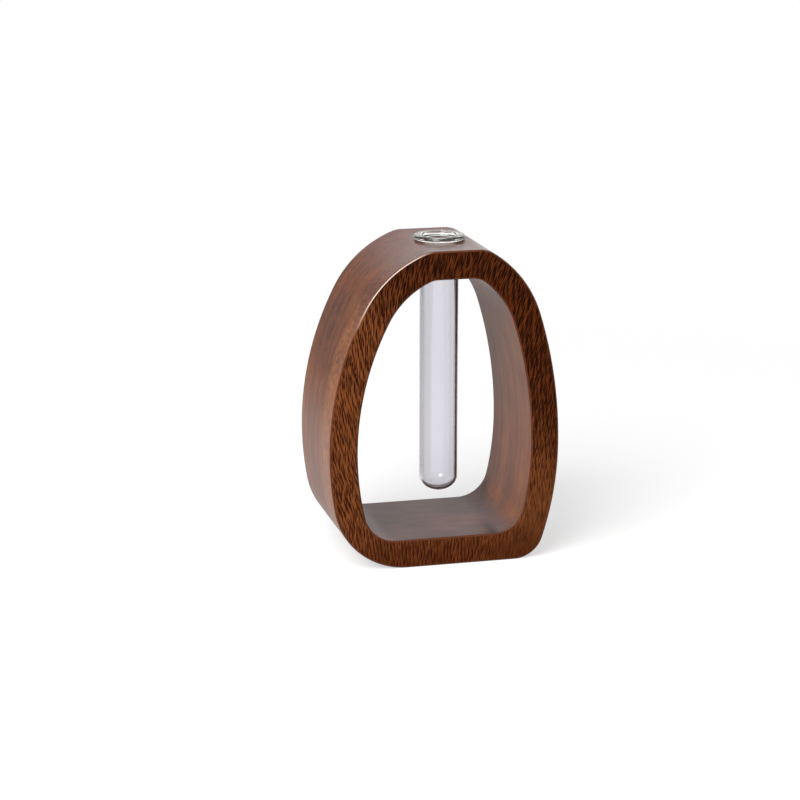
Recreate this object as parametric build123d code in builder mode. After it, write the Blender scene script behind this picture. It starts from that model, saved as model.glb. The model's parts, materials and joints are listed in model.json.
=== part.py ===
"""A test tube vase: a glass tube that hangs by its rolled lip in a hole through the crown of a wooden frame.

The frame is one block of wood with the grain upright, sawn to a hand-shaped egg with a flat foot and a flat
crown, and cut through from front to back by a window that leaves an even wall. Millimetres, +Z up, front at -Y,
origin at the middle of the foot.
"""

import os
from math import asin, atan2, degrees

from build123d import *

# Frame, outside
FRAME_WIDTH = 70.0
FRAME_HEIGHT = 95.0
FRAME_DEPTH = 40.0
WIDEST_HEIGHT = 35.4  # height at which both flanks stand upright
FOOT_RADIUS = 94.0  # flanks below the widest height
SHOULDER_RADIUS = 34.0  # flanks bend to this round on the way up to the crown
LEFT_TAPER = 6.65  # how far the shoulder's round stays inside the widest place
RIGHT_TAPER = 4.6
LEFT_SHAVED = 1.7  # planed off the shoulder's round, to leave a flat crown for the lip
RIGHT_SHAVED = 3.9
LEFT_CORNER_RADIUS = 22.4  # from the flank to the foot
RIGHT_CORNER_RADIUS = 9.0
CROWN_CORNER_RADIUS = 8.0  # from the shoulder to the flat crown
EDGE_CHAMFER = 0.35  # sanded edge of the front and back faces

# Frame, window
WALL = 8.5
FLOOR_THICKNESS = 8.6
WINDOW_CORNER_RADIUS = 9.7
WINDOW_CROWN_RADIUS = 6.0

# Tube
TUBE_OFFSET = 3.2  # from the middle of the frame to the tube's axis
TUBE_DIAMETER = 11.6
TIP_GAP = 9.15  # from the window's floor to the tip
GLASS = 0.7
TIP_GLASS = 1.2  # thicker where the tube was closed
TIP_RISE = 4.4  # height of the flattened round tip
LIP_DIAMETER = 15.6
LIP_THICKNESS = 1.5
MOUTH_FLARE = 1.5  # cone from the bore out to the top of the lip
NECK_FLARE = 0.4  # cone from the tube out to the underside of the lip

# Hole for the tube
HOLE_CLEARANCE = 0.3  # between the tube and the hole, all round
HOLE_CHAMFER = 0.5

LEFT, RIGHT = -1, 1


def side_arc(side, center, radius, start, sweep):
    """Draws an arc given as it lies on the right side, or its mirror image on the left."""
    if side == LEFT:
        return CenterArc((-center.X, center.Y), radius, 180 - start, -sweep)
    return CenterArc(center, radius, start, sweep)


def egg_side(side, taper, shaved, inset, bottom, top):
    """Draws one side of the egg in tangent arcs, and gives its ends at the foot and at the crown."""
    half = FRAME_WIDTH / 2
    rise = FRAME_HEIGHT + shaved - WIDEST_HEIGHT
    flank_radius = SHOULDER_RADIUS + ((rise - SHOULDER_RADIUS) ** 2 + taper**2) / (2 * taper)
    foot = Vector(half - FOOT_RADIUS, WIDEST_HEIGHT)
    flank = Vector(half - flank_radius, WIDEST_HEIGHT)
    shoulder = Vector(half - taper - SHOULDER_RADIUS, WIDEST_HEIGHT + rise - SHOULDER_RADIUS)
    foot_angle = degrees(asin((WIDEST_HEIGHT - bottom) / (FOOT_RADIUS - inset)))
    shoulder_angle = degrees(atan2(shoulder.Y - flank.Y, shoulder.X - flank.X))
    crown_angle = degrees(asin((top - shoulder.Y) / (SHOULDER_RADIUS - inset)))

    low = side_arc(side, foot, FOOT_RADIUS - inset, 0, -foot_angle)
    side_arc(side, flank, flank_radius - inset, 0, shoulder_angle)
    high = side_arc(side, shoulder, SHOULDER_RADIUS - inset, shoulder_angle, crown_angle - shoulder_angle)
    return low @ 1, high @ 1


def egg_outline(inset, bottom, top):
    """Draws the egg, moved inwards by inset and cut flat at two heights."""
    left_foot, left_crown = egg_side(LEFT, LEFT_TAPER, LEFT_SHAVED, inset, bottom, top)
    right_foot, right_crown = egg_side(RIGHT, RIGHT_TAPER, RIGHT_SHAVED, inset, bottom, top)
    Line(left_foot, right_foot)
    Line(left_crown, right_crown)


# Wooden frame
with BuildPart() as frame:
    with BuildSketch(Plane.XZ) as outline:
        with BuildLine():
            egg_outline(inset=0, bottom=0, top=FRAME_HEIGHT)
        make_face()
        fillet(outline.vertices().group_by(Axis.Y)[0].sort_by(Axis.X)[0], LEFT_CORNER_RADIUS)
        fillet(outline.vertices().group_by(Axis.Y)[0].sort_by(Axis.X)[-1], RIGHT_CORNER_RADIUS)
        fillet(outline.vertices().group_by(Axis.Y)[-1], CROWN_CORNER_RADIUS)
    extrude(amount=FRAME_DEPTH / 2, both=True)
    with BuildSketch(Plane.XZ) as window:
        with BuildLine():
            egg_outline(inset=WALL, bottom=FLOOR_THICKNESS, top=FRAME_HEIGHT - WALL)
        make_face()
        fillet(window.vertices().group_by(Axis.Y)[0], WINDOW_CORNER_RADIUS)
        fillet(window.vertices().group_by(Axis.Y)[-1], WINDOW_CROWN_RADIUS)
    extrude(amount=FRAME_DEPTH / 2, both=True, mode=Mode.SUBTRACT)
    rims = frame.faces().filter_by(Axis.Y).edges()
    chamfer(rims, EDGE_CHAMFER)
    hole_radius = TUBE_DIAMETER / 2 + HOLE_CLEARANCE
    with Locations((TUBE_OFFSET, 0, FRAME_HEIGHT)):
        CounterSinkHole(hole_radius, hole_radius + HOLE_CHAMFER, depth=FRAME_HEIGHT / 2, counter_sink_angle=90)
frame.part.label = "wooden_frame"

# Glass tube
tube_radius = TUBE_DIAMETER / 2
bore_radius = tube_radius - GLASS
lip_bottom = FRAME_HEIGHT
lip_top = lip_bottom + LIP_THICKNESS
lip_edge = LIP_DIAMETER / 2 - LIP_THICKNESS / 2  # where the half-round edge of the lip begins
tip = FLOOR_THICKNESS + TIP_GAP
shoulder_height = tip + TIP_RISE  # where the straight wall meets the round tip
tube_plane = Plane(origin=(TUBE_OFFSET, 0, 0), x_dir=(1, 0, 0), z_dir=(0, -1, 0))
with BuildPart() as tube:
    with BuildSketch(tube_plane):
        with BuildLine():
            EllipticalCenterArc((0, shoulder_height), tube_radius, TIP_RISE, start_angle=270, arc_size=90)
            Polyline(
                (tube_radius, shoulder_height),
                (tube_radius, lip_bottom - NECK_FLARE),
                (tube_radius + NECK_FLARE, lip_bottom),
                (lip_edge, lip_bottom),
            )
            ThreePointArc(
                (lip_edge, lip_bottom),
                (LIP_DIAMETER / 2, (lip_bottom + lip_top) / 2),
                (lip_edge, lip_top),
            )
            Polyline(
                (lip_edge, lip_top),
                (bore_radius + MOUTH_FLARE, lip_top),
                (bore_radius, lip_top - MOUTH_FLARE),
                (bore_radius, shoulder_height),
            )
            EllipticalCenterArc(
                (0, shoulder_height), bore_radius, TIP_RISE - TIP_GLASS, start_angle=270, arc_size=90
            )
            Line((0, tip + TIP_GLASS), (0, tip))
        make_face()
    revolve(axis=Axis((TUBE_OFFSET, 0, 0), (0, 0, 1)))
tube.part.label = "test_tube"

os.makedirs("parts", exist_ok=True)
for piece in (frame, tube):
    export_step(piece.part, f"parts/{piece.part.label}.step")
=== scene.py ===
"""Dresses a test tube vase: a grained wooden frame that carries a clear glass tube."""

import json
from math import cos, pi, radians, sin

import bmesh
import bpy
from bpy.props import FloatProperty, FloatVectorProperty, IntProperty, PointerProperty
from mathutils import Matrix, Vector


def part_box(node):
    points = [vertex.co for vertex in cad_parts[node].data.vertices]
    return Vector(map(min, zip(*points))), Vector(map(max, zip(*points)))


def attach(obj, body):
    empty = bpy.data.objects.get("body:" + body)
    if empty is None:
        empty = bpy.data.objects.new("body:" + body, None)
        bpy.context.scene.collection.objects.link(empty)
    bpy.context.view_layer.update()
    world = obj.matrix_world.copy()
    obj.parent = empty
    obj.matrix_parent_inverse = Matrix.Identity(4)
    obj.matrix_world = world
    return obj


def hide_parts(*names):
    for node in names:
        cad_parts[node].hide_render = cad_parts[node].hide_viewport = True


bl_info = {
    "name": "Test Tube Vase",
    "version": (1, 0, 0),
    "blender": (4, 5, 0),
    "location": "3D View > Sidebar > Tube Vase",
    "description": "Finishes the wooden frame and the glass tube of a small vase, on a pale stage",
    "category": "Object",
}

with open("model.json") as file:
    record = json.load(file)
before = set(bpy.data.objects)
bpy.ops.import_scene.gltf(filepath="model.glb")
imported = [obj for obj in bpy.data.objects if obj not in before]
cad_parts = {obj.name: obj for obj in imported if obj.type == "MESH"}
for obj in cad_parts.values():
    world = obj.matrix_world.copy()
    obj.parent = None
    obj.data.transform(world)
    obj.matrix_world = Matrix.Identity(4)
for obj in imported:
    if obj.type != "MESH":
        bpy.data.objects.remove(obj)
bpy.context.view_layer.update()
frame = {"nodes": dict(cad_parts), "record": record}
FRAME_LOW, FRAME_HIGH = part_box("wooden_frame")
TUBE_LOW, TUBE_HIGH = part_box("test_tube")
BORE = next(m for m in frame["record"]["mounts"] if m["name"] == "tube_bore")
MILLIMETRE = 0.001
WELD = 0.001 * MILLIMETRE  # points closer than this are one

# Grains of the patterns in the wood, in millimetres along X, Y and Z
SAWN_MOTTLE = (7.0, 9.0, 11.0)
SAWN_FIBRE = (0.30, 5.0, 5.0)
SAWN_FRAY = (0.13, 4.0, 1.7)
WALL_STREAK = (9.0, 3.0, 40.0)
WALL_CLOUD = (14.0, 11.0, 14.0)
WALL_FIBRE = (0.8, 0.7, 9.0)
WALL_FLECK = (0.6, 0.9, 2.8)
FRONT = FRAME_LOW.y / MILLIMETRE  # front face, on the scale of the wood's patterns
PORE_DEPTH = 0.05 * MILLIMETRE

CLEAR = (1.0, 1.0, 1.0)
GLASS_IOR = 1.47
TIP_STEPS = 20
EDGE_SEGMENTS = 3
LIP_SEGMENTS = 6
FLOOR_REACH = 6.0


def length_property(name, description, default):
    return FloatProperty(
        name=name, description=description, default=default, min=0.0, precision=5, unit="LENGTH"
    )


def colour_property(name, description, default):
    return FloatVectorProperty(
        name=name, description=description, default=default, size=3, min=0.0, max=1.0, subtype="COLOR"
    )


def place_property(name, description, default):
    return FloatVectorProperty(name=name, description=description, default=default, subtype="XYZ")


def angle_property(name, description, default):
    return FloatProperty(name=name, description=description, default=radians(default), unit="ROTATION")


class WoodFinish(bpy.types.PropertyGroup):
    """Colours and scale of the wood."""

    ground: colour_property("Ground", "Sawn wood between the dashes", (0.197, 0.060, 0.0180))
    heart: colour_property("Heart", "Ground at the crown and right", (0.098, 0.0222, 0.0048))
    dash: colour_property("Dash", "Dark dashes on the two sawn faces", (0.026, 0.0036, 0.0008))
    heart_dash: colour_property("Heart dash", "Dark dashes at the crown and right", (0.009, 0.0016, 0.0006))
    long_grain: colour_property("Long grain", "Wood on the upright walls", (0.225, 0.067, 0.0200))
    dusk: colour_property("Dusk", "Darker streaks on the upright walls", (0.150, 0.043, 0.0160))
    front_layer: colour_property("Front layer", "Paler layer of wood along the front", (0.285, 0.096, 0.0300))
    # End grain keeps its own darker tone, greyed toward mauve as a painted sheen; along the front it is a
    # little bluer, more painted sheen
    end_grain: colour_property("End grain", "Wood that faces up or down", (0.122, 0.043, 0.030))
    front_ends: colour_property("Front ends", "End grain along the front", (0.114, 0.047, 0.035))
    # A painted highlight: pale colour on the rounded edges at the upper left, where they face up and to the
    # left
    painted_edge_highlight: colour_property("Worn edge", "Sanded edges at the upper left", (0.760, 0.600, 0.530))
    dash_pitch: length_property("Dash pitch", "From dash to dash, across the grain", 0.50 * MILLIMETRE)
    dash_length: length_property("Dash length", "From dash to dash, along the grain", 4.6 * MILLIMETRE)
    layer_depth: length_property("Layer depth", "Thickness of the paler layer", 11.0 * MILLIMETRE)
    edge_round: length_property("Edge round", "Rounding of the sanded edges", 0.12 * MILLIMETRE)


class TubeShape(bpy.types.PropertyGroup):
    """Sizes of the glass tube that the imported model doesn't state, and its colours."""

    radius: length_property("Radius", "Outside radius of the straight tube", 5.8 * MILLIMETRE)
    tip_rise: length_property("Tip rise", "Height of the flattened round tip", 4.4 * MILLIMETRE)
    tip_glass: length_property("Tip glass", "Thickness of the glass at the tip", 0.65 * MILLIMETRE)
    lip_gap: length_property("Lip gap", "Hair's breadth between the lip and the crown", 0.03 * MILLIMETRE)
    lip_round: length_property("Lip round", "Radius of the lip's outer edges", 0.72 * MILLIMETRE)
    mouth_round: length_property("Mouth round", "Radius from the bore to the lip's top", 0.75 * MILLIMETRE)
    neck_round: length_property("Neck round", "Radius under the lip", 0.4 * MILLIMETRE)
    steps: IntProperty(name="Steps", description="Sides of the tube", default=96, min=12)
    tint: colour_property("Tint", "Light that passes the glass", (0.695, 0.682, 0.742))
    edge_tint: colour_property("Edge tint", "Light that passes along the wall", (0.19, 0.186, 0.196))
    lip_tint: colour_property("Lip tint", "Light that passes the lip", (0.97, 1.0, 0.97))


class StageSetup(bpy.types.PropertyGroup):
    """Camera, lamp, sky and floor."""

    azimuth: angle_property("Azimuth", "Camera's turn round the vase from the front", -14.25)
    elevation: angle_property("Elevation", "Camera's height above the horizon", 14.25)
    distance: length_property("Distance", "From the camera to the point that it looks at", 0.6834)
    aim: place_property("Aim", "Point that the camera looks at", (-0.0088, 0.0, 0.0464))
    lens: FloatProperty(name="Lens", description="Focal length in millimetres", default=102.18)
    key_place: place_property("Key place", "Where the large lamp hangs", (-0.65, -0.7, 0.9))
    key_size: length_property("Key size", "Width of the large lamp", 0.9)
    key_power: FloatProperty(name="Key power", description="Power of the lamp", default=18.0, unit="POWER")
    sky: FloatProperty(name="Sky", description="Light of the surroundings on dull surfaces", default=0.38)
    floor: colour_property("Floor", "Colour of the floor", (0.50, 0.50, 0.50))
    floor_lift: FloatProperty(name="Floor lift", description="Brightness added to the floor", default=0.58)
    shadow_reach: length_property("Shadow reach", "How far from the vase the floor shows its shadow", 0.4)


class Nodes:
    """Adds nodes to one tree. An input is given as a value or as the socket that feeds it."""

    def __init__(self, tree):
        self.tree = tree
        tree.nodes.clear()

    def feed(self, socket, value):
        if isinstance(value, bpy.types.NodeSocket):
            self.tree.links.new(value, socket)
        else:
            socket.default_value = value

    def add(self, kind, inputs=None, **settings):
        node = self.tree.nodes.new(kind)
        for name, value in settings.items():
            setattr(node, name, value)
        for key, value in (inputs or {}).items():
            self.feed(node.inputs[key], value)
        return node

    def math(self, operation, *values):
        return self.add("ShaderNodeMath", dict(enumerate(values)), operation=operation).outputs[0]

    def product(self, first, *others):
        for other in others:
            first = self.math("MULTIPLY", first, other)
        return first

    def raised(self, base, value, amount):
        """Base plus an amount of a value."""
        return self.math("MULTIPLY_ADD", value, amount, base)

    def stirred(self, base, noise, amount):
        """Base moved up and down by an amount of noise."""
        return self.raised(base, self.math("SUBTRACT", noise, 0.5), amount)

    def distance(self, a, b):
        return self.math("ABSOLUTE", self.math("SUBTRACT", a, b))

    def vector(self, x, y, z):
        return self.add("ShaderNodeCombineXYZ", {"X": x, "Y": y, "Z": z}).outputs[0]

    def noise(self, place, sizes, detail=2.0, roughness=0.5):
        """Noise whose grains have about those sizes along the axes."""
        vector = self.vector(*(self.math("DIVIDE", value, size) for value, size in zip(place, sizes)))
        inputs = {"Vector": vector, "Scale": 1.0, "Detail": detail, "Roughness": roughness}
        return self.add("ShaderNodeTexNoise", inputs).outputs["Fac"]

    def smooth(self, value, low, high):
        """Rises smoothly from 0 at low to 1 at high."""
        inputs = {"Value": value, "From Min": low, "From Max": high}
        return self.add("ShaderNodeMapRange", inputs, interpolation_type="SMOOTHSTEP").outputs["Result"]

    def blend_values(self, factor, a, b):
        inputs = {"Factor": factor, "A": a, "B": b}
        return self.add("ShaderNodeMix", inputs, data_type="FLOAT").outputs["Result"]

    def mix(self, factor, a, b, blend="MIX"):
        node = self.add("ShaderNodeMix", data_type="RGBA", blend_type=blend)
        sockets = {"Factor_Float": factor, "A_Color": a, "B_Color": b}
        for identifier, value in sockets.items():
            self.feed(next(s for s in node.inputs if s.identifier == identifier), value)
        return next(s for s in node.outputs if s.identifier == "Result_Color")

    def tinted(self, colour, shade):
        """Colour times a grey shade."""
        grey = self.vector(shade, shade, shade)
        return self.mix(1.0, colour, grey, blend="MULTIPLY")

    def pores(self, strength, height):
        inputs = {"Strength": strength, "Distance": PORE_DEPTH, "Height": height}
        return self.add("ShaderNodeBump", inputs).outputs[0]

    def principled(self, material, inputs):
        surface = self.add("ShaderNodeBsdfPrincipled", inputs)
        self.add("ShaderNodeOutputMaterial", {"Surface": surface.outputs[0]})
        return material


def opaque(colour):
    return (*colour, 1.0)


def new_material(name):
    material = bpy.data.materials.new(name)
    material.use_nodes = True
    return material, Nodes(material.node_tree)


def seen_directly(nodes):
    """1 on rays that show a thing to the camera, straight or by way of gloss or glass."""
    path = nodes.add("ShaderNodeLightPath").outputs
    direct = nodes.math("MAXIMUM", path["Is Camera Ray"], path["Is Glossy Ray"])
    return nodes.math("MAXIMUM", direct, path["Is Transmission Ray"])


def wood_place(nodes):
    """Place on the wood in millimetres, and the way that its surface faces."""
    coordinates = nodes.add("ShaderNodeTexCoord").outputs
    place = nodes.add("ShaderNodeSeparateXYZ", {0: coordinates["Object"]}).outputs
    facing = nodes.add("ShaderNodeSeparateXYZ", {0: coordinates["Normal"]}).outputs
    return [nodes.math("DIVIDE", place[axis], MILLIMETRE) for axis in "XYZ"], facing


def across_grain(nodes, place):
    """Place across fibres that lean left at the lower left, and right at the crown, right and foot."""
    lean, lean_by_width, lean_by_height = 0.08, 0.005, 0.0021
    lean_height, foot_height, foot_lean = 50.0, 13.0, 0.32
    waves = ((10.0, 2.2), (3.2, 0.25))  # size and sway
    back_shift = 57.0  # the back doesn't repeat the front

    x, y, z = place
    height = nodes.math("SUBTRACT", z, lean_height)
    slope = nodes.raised(nodes.raised(lean, x, lean_by_width), height, lean_by_height)
    across = nodes.math("SUBTRACT", x, nodes.product(slope, height))
    foot = nodes.math("MINIMUM", nodes.math("SUBTRACT", z, foot_height), 0.0)
    across = nodes.raised(across, foot, -foot_lean)
    for size, sway in waves:
        across = nodes.stirred(across, nodes.noise(place, (size, size, size)), sway)
    return nodes.raised(across, nodes.math("GREATER_THAN", y, 0.0), back_shift)


def dark_dashes(nodes, finish, place, heart, calm):
    """1 in the dashes: staggered along the fibres, frayed by them, broad at the heart, thin where calm."""
    stagger = 0.38  # rows, from one column to the next
    breadth, breadth_range, heart_breadth, calm_breadth = 0.30, 0.17, 0.06, -0.24
    fraying, softness = 0.75, (-0.14, 0.08)
    palest, depth_range = 0.8, 0.2

    across, _, z = place
    column = nodes.math("DIVIDE", across, finish.dash_pitch / MILLIMETRE)
    row = nodes.raised(nodes.math("DIVIDE", z, finish.dash_length / MILLIMETRE), column, stagger)
    cells = nodes.add(
        "ShaderNodeTexVoronoi",
        {"Vector": nodes.vector(column, row, 0.0), "Scale": 1.0, "Exponent": 1.35, "Randomness": 0.55},
        voronoi_dimensions="2D", distance="MINKOWSKI",
    ).outputs
    chance = nodes.add("ShaderNodeSeparateColor", {0: cells["Color"]}).outputs
    reach = nodes.raised(breadth, chance["Red"], breadth_range)
    reach = nodes.raised(reach, heart, heart_breadth)
    reach = nodes.raised(reach, calm, calm_breadth)
    inside = nodes.math("SUBTRACT", reach, cells["Distance"])
    inside = nodes.stirred(inside, nodes.noise(place, SAWN_FRAY), fraying)
    depth = nodes.raised(palest, chance["Green"], depth_range)
    return nodes.product(nodes.smooth(inside, *softness), depth)


def sawn_wood(finish):
    """Front and back: dense dark dashes in orange-brown wood, darker at the crown, calm at the right foot."""
    material, nodes = new_material("sawn_wood")
    place, _ = wood_place(nodes)
    x, y, z = place
    along_fibres = (across_grain(nodes, place), y, z)

    mottled = nodes.stirred(nodes.math("ADD", x, z), nodes.noise(place, SAWN_MOTTLE), 30.0)
    heart = nodes.smooth(mottled, 46.0, 81.0)
    calm = nodes.smooth(nodes.raised(x, z, -0.6), 6.0, 20.0)
    foot = nodes.product(nodes.smooth(z, 14.0, 2.0), 0.75)
    dashes = dark_dashes(nodes, finish, along_fibres, heart, calm)
    fibre = nodes.noise(along_fibres, SAWN_FIBRE)

    ground = nodes.mix(nodes.math("MAXIMUM", heart, foot), opaque(finish.ground), opaque(finish.heart))
    light = nodes.raised(nodes.stirred(1.0, fibre, 2.2), calm, -0.28)
    dark = nodes.mix(heart, opaque(finish.dash), opaque(finish.heart_dash))
    inputs = {
        "Base Color": nodes.mix(dashes, nodes.tinted(ground, light), dark),
        "Roughness": 0.6,
        "Specular IOR Level": 0.03,
        "Normal": nodes.pores(0.3, nodes.raised(nodes.product(fibre, 0.5), dashes, -1.0)),
    }
    return nodes.principled(material, inputs)


def floor_streak(nodes, place):
    """1 along the front and back ends of a dark, bent streak in the window's floor."""
    streak_x, bend, middle_y = 15.8, 0.0055, 2.0
    x, y, z = place
    behind = nodes.math("SUBTRACT", y, FRONT)
    streak = nodes.raised(streak_x, nodes.product(behind, behind), bend)
    beside = nodes.smooth(nodes.distance(x, streak), 1.9, 0.2)
    ends = nodes.smooth(nodes.distance(y, middle_y), 5.0, 16.0)
    return nodes.product(beside, nodes.smooth(z, 17.0, 11.0), ends)


def with_rims(nodes, finish, place, facing, colour):
    """Colour with dark rims round the sawn faces, and a painted highlight on the outer rim, upper left: a
    pale line where the rim faces up and to the left.
    """
    x, y, z = place
    edge = nodes.smooth(nodes.math("ABSOLUTE", facing["Y"]), 0.3, 0.7)
    upper_left = nodes.product(nodes.smooth(z, 70.0, 84.0), nodes.smooth(x, -3.0, -11.0))
    outside = nodes.smooth(nodes.math("SUBTRACT", facing["Z"], facing["X"]), -0.2, 0.3)
    # Painted highlight on the upper-left rims that face up and to the left
    painted_highlight = nodes.product(upper_left, outside)
    rim = nodes.mix(painted_highlight, opaque(finish.heart), opaque(finish.painted_edge_highlight))
    depth = nodes.math("SUBTRACT", -FRONT, nodes.math("ABSOLUTE", y))
    line = nodes.blend_values(painted_highlight, 1.0, nodes.smooth(depth, 0.23, 0.09))
    return nodes.mix(nodes.product(edge, line), colour, rim)


def sanded_wood(finish):
    """Walls and rims: satin long grain in soft streaks, a paler layer along the front, speckled end grain."""
    material, nodes = new_material("sanded_wood")
    place, facing = wood_place(nodes)
    x, y, z = place
    streaks = nodes.noise(place, WALL_STREAK, detail=3.0, roughness=0.55)
    cloud = nodes.noise(place, WALL_CLOUD)
    fibre = nodes.noise(place, WALL_FIBRE)
    fleck = nodes.noise(place, WALL_FLECK, roughness=0.55)

    # Where each kind of surface lies
    left = nodes.smooth(x, 5.0, -10.0)
    high = nodes.product(nodes.smooth(z, 36.0, 64.0), left)
    # The window's lower right corner, which gets painted shade below
    right_foot = nodes.product(nodes.smooth(z, 30.0, 12.0), nodes.smooth(x, 5.0, 20.0))
    layer_back, layer_fade, layer_wander = FRONT + finish.layer_depth / MILLIMETRE, 3.0, 9.0
    wandering = nodes.stirred(y, cloud, layer_wander)
    layer = nodes.smooth(wandering, layer_back + layer_fade, layer_back - layer_fade)
    flecked = nodes.product(layer, nodes.raised(0.3, left, 0.7))
    pale = nodes.product(flecked, nodes.raised(1.0, nodes.smooth(z, 66.0, 83.0), -0.95))
    ends = nodes.smooth(nodes.math("ABSOLUTE", facing["Z"]), 0.58, 0.97)
    top = nodes.product(ends, nodes.smooth(z, 30.0, 60.0))
    bottom = nodes.math("SUBTRACT", ends, top)

    # Colour
    # End grain: partly its own tone, partly greyed and blued as a painted sheen, more so along the front
    end_grain = nodes.mix(layer, opaque(finish.end_grain), opaque(finish.front_ends))
    colour = nodes.mix(nodes.smooth(streaks, 0.38, 0.62), opaque(finish.long_grain), opaque(finish.dusk))
    colour = nodes.mix(pale, colour, opaque(finish.front_layer))
    colour = nodes.mix(ends, colour, end_grain)

    # Fine texture, then larger lights and darks, some of them painted shade
    speckled = nodes.product(nodes.math("MAXIMUM", flecked, top), nodes.math("SUBTRACT", 1.0, bottom))
    texture = nodes.blend_values(speckled, nodes.stirred(0.0, fibre, 0.9), nodes.stirred(0.0, fleck, 2.0))
    texture = nodes.blend_values(bottom, texture, nodes.stirred(0.0, streaks, 1.2))
    plain = nodes.math("SUBTRACT", 1.0, nodes.math("MAXIMUM", ends, nodes.product(pale, 0.65)))
    shade = nodes.math("ADD", nodes.stirred(1.0, cloud, 0.8), texture)
    for where, darkening in (
        (nodes.product(high, plain), 0.46),
        # Painted shade on the window's floor and on the underside, where little light reaches
        (bottom, 0.25),
        # Painted shade in the window's lower right corner
        (right_foot, 0.18),
        (floor_streak(nodes, place), 0.40),
    ):
        shade = nodes.raised(shade, where, -darkening)
    colour = with_rims(nodes, finish, place, facing, nodes.tinted(colour, shade))

    # Satin: dull high on the left, glossier below and on the end grain
    high_dull = nodes.blend_values(flecked, 0.64, 0.62)
    roughness = nodes.blend_values(high, nodes.blend_values(left, 0.46, 0.40), high_dull)
    roughness = nodes.blend_values(top, roughness, nodes.raised(0.30, y, 0.006))
    roughness = nodes.blend_values(bottom, roughness, 0.36)
    inputs = {
        "Base Color": colour,
        "Roughness": roughness,
        "Specular IOR Level": 0.27,
        "Normal": nodes.pores(0.2, texture),
    }
    return nodes.principled(material, inputs)


def glass_material(name, colour, edge_colour, lip_colour):
    """Clear glass, darker where light passes along its straight wall, and a little green in the lip."""
    material, nodes = new_material(name)
    place = nodes.add("ShaderNodeTexCoord").outputs["Object"]
    height = nodes.add("ShaderNodeSeparateXYZ", {0: place}).outputs["Z"]
    tip, crown = TUBE_LOW.z, FRAME_HIGH.z
    lip = nodes.smooth(height, crown - MILLIMETRE, crown)
    above_tip = nodes.smooth(height, tip + 2 * MILLIMETRE, tip + 7 * MILLIMETRE)
    below_crown = nodes.smooth(height, crown - 6 * MILLIMETRE, crown - 9 * MILLIMETRE)
    grazing = nodes.smooth(nodes.add("ShaderNodeLayerWeight", {"Blend": 0.5}).outputs["Facing"], 0.3, 0.6)
    along = nodes.product(above_tip, below_crown, grazing)
    colour = nodes.mix(along, opaque(colour), opaque(edge_colour))
    inputs = {
        "Base Color": nodes.mix(lip, colour, opaque(lip_colour)),
        "Roughness": 0.0,
        "IOR": GLASS_IOR,
        "Transmission Weight": 1.0,
    }
    return nodes.principled(material, inputs)


def floor_material(stage):
    """Pale floor that keeps the vase's shadow close by and is plain white further off."""
    material, nodes = new_material("pale_floor")
    place = nodes.add("ShaderNodeTexCoord").outputs["Object"]
    away = nodes.add("ShaderNodeVectorMath", {0: place}, operation="LENGTH").outputs["Value"]
    seen = seen_directly(nodes)
    near = nodes.add("ShaderNodeBsdfDiffuse", {"Color": opaque(stage.floor)})
    lift = nodes.add("ShaderNodeEmission", {"Strength": nodes.product(seen, stage.floor_lift)})
    near = nodes.add("ShaderNodeAddShader", {0: near.outputs[0], 1: lift.outputs[0]})
    white = nodes.add("ShaderNodeEmission", {"Strength": 1.0})
    far = nodes.product(seen, nodes.smooth(away, stage.shadow_reach / 4, stage.shadow_reach))
    surface = nodes.add("ShaderNodeMixShader", {0: far, 1: near.outputs[0], 2: white.outputs[0]})
    nodes.add("ShaderNodeOutputMaterial", {"Surface": surface.outputs[0]})
    return material


def new_object(name, mesh_builder):
    """Makes an object at the origin from a bmesh, with its place in its mesh."""
    mesh = bpy.data.meshes.new(name)
    mesh_builder.to_mesh(mesh)
    mesh_builder.free()
    made = bpy.data.objects.new(name, mesh)
    bpy.context.scene.collection.objects.link(made)
    return made


def softened_frame(wood):
    """Copy of the frame with its sanded edges rounded. Its two sawn faces take the first finish."""
    flat, sharp = radians(0.2), radians(40)
    least_chamfer, most_chamfer = radians(30), radians(60)
    sawn = 0.999  # how squarely a sawn face looks to the front or back
    rim_depth = FRAME_HIGH.y - MILLIMETRE

    builder = bmesh.new()
    builder.from_mesh(frame["nodes"]["wooden_frame"].data)
    bmesh.ops.remove_doubles(builder, verts=builder.verts, dist=WELD)
    bmesh.ops.dissolve_limit(builder, angle_limit=flat, verts=builder.verts, edges=builder.edges)
    rims = [
        edge for edge in builder.edges
        if least_chamfer < edge.calc_face_angle() < most_chamfer
        and all(abs(vert.co.y) > rim_depth for vert in edge.verts)
    ]
    bmesh.ops.bevel(
        builder, geom=rims, offset=wood.edge_round, affect="EDGES", segments=EDGE_SEGMENTS, profile=0.5,
        material=-1,
    )
    for face in builder.faces:
        face.smooth = True
        face.material_index = 0 if abs(face.normal.y) > sawn else 1
    for edge in builder.edges:
        edge.smooth = edge.calc_face_angle() < sharp
    return builder


def tip_curve(radius, rise, centre_height):
    """Quarter of an oval, from the tube's axis out to its straight wall."""
    turns = (i * pi / 2 / TIP_STEPS for i in range(TIP_STEPS + 1))
    return [(radius * sin(turn), centre_height - rise * cos(turn)) for turn in turns]


def ring_edges(builder, axis, radius, height):
    """Edges of the circle of that radius and height round the tube's axis."""
    slack = 0.02 * MILLIMETRE

    def on_ring(vert):
        away = Vector((vert.co.x - axis.x, vert.co.y - axis.y)).length
        return abs(away - radius) < slack and abs(vert.co.z - height) < slack

    return [edge for edge in builder.edges if all(on_ring(vert) for vert in edge.verts)]


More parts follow.
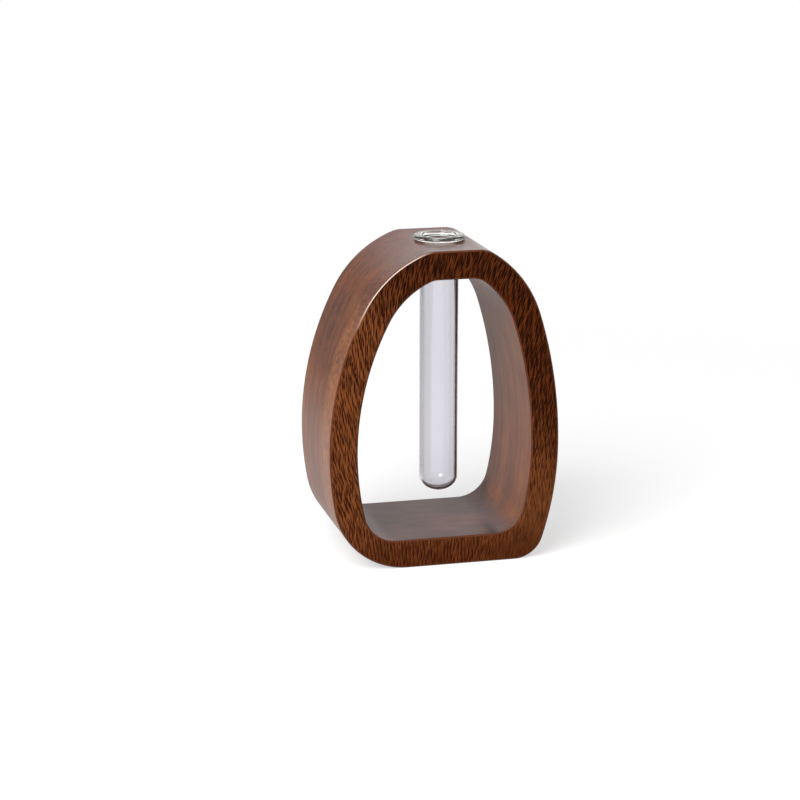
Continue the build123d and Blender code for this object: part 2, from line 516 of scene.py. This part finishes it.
def blown_tube(tube):
    """Glass tube, turned from its profile, with its lip, mouth and neck rounded. Its bore is slot 1."""
    axis = (TUBE_LOW + TUBE_HIGH) / 2
    tip, top = TUBE_LOW.z, TUBE_HIGH.z
    lip = (TUBE_HIGH.x - TUBE_LOW.x) / 2
    bore = BORE["dims"]["r_mm"] * MILLIMETRE
    seat = FRAME_HIGH.z + tube.lip_gap
    shoulder = tip + tube.tip_rise
    profile = tip_curve(tube.radius, tube.tip_rise, shoulder)
    profile += [(tube.radius, seat), (lip, seat), (lip, top), (bore, top)]
    profile += reversed(tip_curve(bore, tube.tip_rise - tube.tip_glass, shoulder))

    builder = bmesh.new()
    verts = [builder.verts.new((axis.x + r, axis.y, height)) for r, height in profile]
    edges = [builder.edges.new(pair) for pair in zip(verts, verts[1:])]
    bmesh.ops.spin(
        builder, geom=verts + edges, cent=(axis.x, axis.y, 0), axis=(0, 0, 1), angle=2 * pi,
        steps=tube.steps, use_merge=True, use_duplicate=False,
    )
    bmesh.ops.remove_doubles(builder, verts=builder.verts, dist=WELD)
    bmesh.ops.recalc_face_normals(builder, faces=builder.faces)
    rounds = (
        (tube.radius, seat, tube.neck_round),
        (lip, seat, tube.lip_round),
        (lip, top, tube.lip_round),
        (bore, top, tube.mouth_round),
    )
    for radius, height, amount in rounds:
        bmesh.ops.bevel(
            builder, geom=ring_edges(builder, axis, radius, height), offset=amount, affect="EDGES",
            segments=LIP_SEGMENTS, profile=0.5, material=-1,
        )
    mouth = Vector((axis.x, axis.y, top))
    for face in builder.faces:
        face.smooth = True
        outward = face.calc_center_median() - mouth
        face.material_index = 0 if face.normal.dot(outward) > 0 else 1
    return builder


class VASE_OT_wooden_frame(bpy.types.Operator):
    """Finish the wooden frame with oiled, upright grain"""

    bl_idname = "vase.wooden_frame"
    bl_label = "Wooden Frame"
    bl_options = {"REGISTER", "UNDO"}

    def execute(self, context):
        finish = context.scene.vase_wood
        wood = new_object("wood_frame", softened_frame(finish))
        wood.data.materials.append(sawn_wood(finish))
        wood.data.materials.append(sanded_wood(finish))
        normals = wood.modifiers.new("flat_faces", "WEIGHTED_NORMAL")
        normals.keep_sharp = True
        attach(wood, "frame_body")
        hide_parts("wooden_frame")
        return {"FINISHED"}


class VASE_OT_glass_tube(bpy.types.Operator):
    """Turn the glass tube with its rolled lip and round tip"""

    bl_idname = "vase.glass_tube"
    bl_label = "Glass Tube"
    bl_options = {"REGISTER", "UNDO"}

    def execute(self, context):
        tube = context.scene.vase_tube
        glass = new_object("glass_tube", blown_tube(tube))
        outer = glass_material("outer_glass", tube.tint, tube.edge_tint, tube.lip_tint)
        bore = glass_material("bore_glass", CLEAR, CLEAR, tube.lip_tint)
        glass.data.materials.append(outer)
        glass.data.materials.append(bore)
        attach(glass, "tube_body")
        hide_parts("test_tube")
        return {"FINISHED"}


class VASE_OT_stage(bpy.types.Operator):
    """Set the vase on a pale floor under soft light, before the camera"""

    bl_idname = "vase.stage"
    bl_label = "Stage"
    bl_options = {"REGISTER", "UNDO"}

    def execute(self, context):
        stage = context.scene.vase_stage
        self.lay_floor(stage)
        self.light_sky(context, stage)
        self.hang_lamp(context, stage)
        self.place_camera(context, stage)
        context.scene.view_settings.view_transform = "Standard"
        return {"FINISHED"}

    def lay_floor(self, stage):
        builder = bmesh.new()
        bmesh.ops.create_grid(builder, x_segments=1, y_segments=1, size=FLOOR_REACH)
        floor = new_object("floor", builder)
        floor.data.materials.append(floor_material(stage))

    def light_sky(self, context, stage):
        world = bpy.data.worlds.new("white_room")
        world.use_nodes = True
        nodes = Nodes(world.node_tree)
        levels = {"Value": seen_directly(nodes), "To Min": stage.sky, "To Max": 1.0}
        strength = nodes.add("ShaderNodeMapRange", levels).outputs[0]
        sky = nodes.add("ShaderNodeBackground", {"Color": opaque(CLEAR), "Strength": strength})
        nodes.add("ShaderNodeOutputWorld", {"Surface": sky.outputs[0]})
        context.scene.world = world

    def hang_lamp(self, context, stage):
        data = bpy.data.lights.new("key_lamp", "AREA")
        data.shape = "DISK"
        data.size = stage.key_size
        data.energy = stage.key_power
        lamp = bpy.data.objects.new("key_lamp", data)
        lamp.location = stage.key_place
        lamp.rotation_euler = (Vector(stage.aim) - lamp.location).to_track_quat("-Z", "Y").to_euler()
        context.scene.collection.objects.link(lamp)

    def place_camera(self, context, stage):
        back = Vector(
            (
                sin(stage.azimuth) * cos(stage.elevation),
                -cos(stage.azimuth) * cos(stage.elevation),
                sin(stage.elevation),
            )
        )
        data = bpy.data.cameras.new("camera")
        data.lens = stage.lens
        camera = bpy.data.objects.new("camera", data)
        camera.location = Vector(stage.aim) + back * stage.distance
        camera.rotation_euler = (-back).to_track_quat("-Z", "Y").to_euler()
        context.scene.collection.objects.link(camera)
        context.scene.camera = camera


class VASE_PT_sidebar(bpy.types.Panel):
    """Lists the vase's settings and the steps that dress it"""

    bl_idname = "VASE_PT_sidebar"
    bl_label = "Test Tube Vase"
    bl_space_type = "VIEW_3D"
    bl_region_type = "UI"
    bl_category = "Tube Vase"

    def draw(self, context):
        scene = context.scene
        for group, operator in (
            (scene.vase_wood, VASE_OT_wooden_frame),
            (scene.vase_tube, VASE_OT_glass_tube),
            (scene.vase_stage, VASE_OT_stage),
        ):
            box = self.layout.box()
            for name in group.__annotations__:
                box.prop(group, name)
            box.operator(operator.bl_idname)


GROUPS = {"vase_wood": WoodFinish, "vase_tube": TubeShape, "vase_stage": StageSetup}
CLASSES = (*GROUPS.values(), VASE_OT_wooden_frame, VASE_OT_glass_tube, VASE_OT_stage, VASE_PT_sidebar)


def register():
    for cls in CLASSES:
        bpy.utils.register_class(cls)
    for name, group in GROUPS.items():
        setattr(bpy.types.Scene, name, PointerProperty(type=group))


def unregister():
    for name in GROUPS:
        delattr(bpy.types.Scene, name)
    for cls in reversed(CLASSES):
        bpy.utils.unregister_class(cls)


def main():
    register()
    bpy.ops.vase.wooden_frame()
    bpy.ops.vase.glass_tube()
    bpy.ops.vase.stage()


if __name__ == "__main__":
    main()
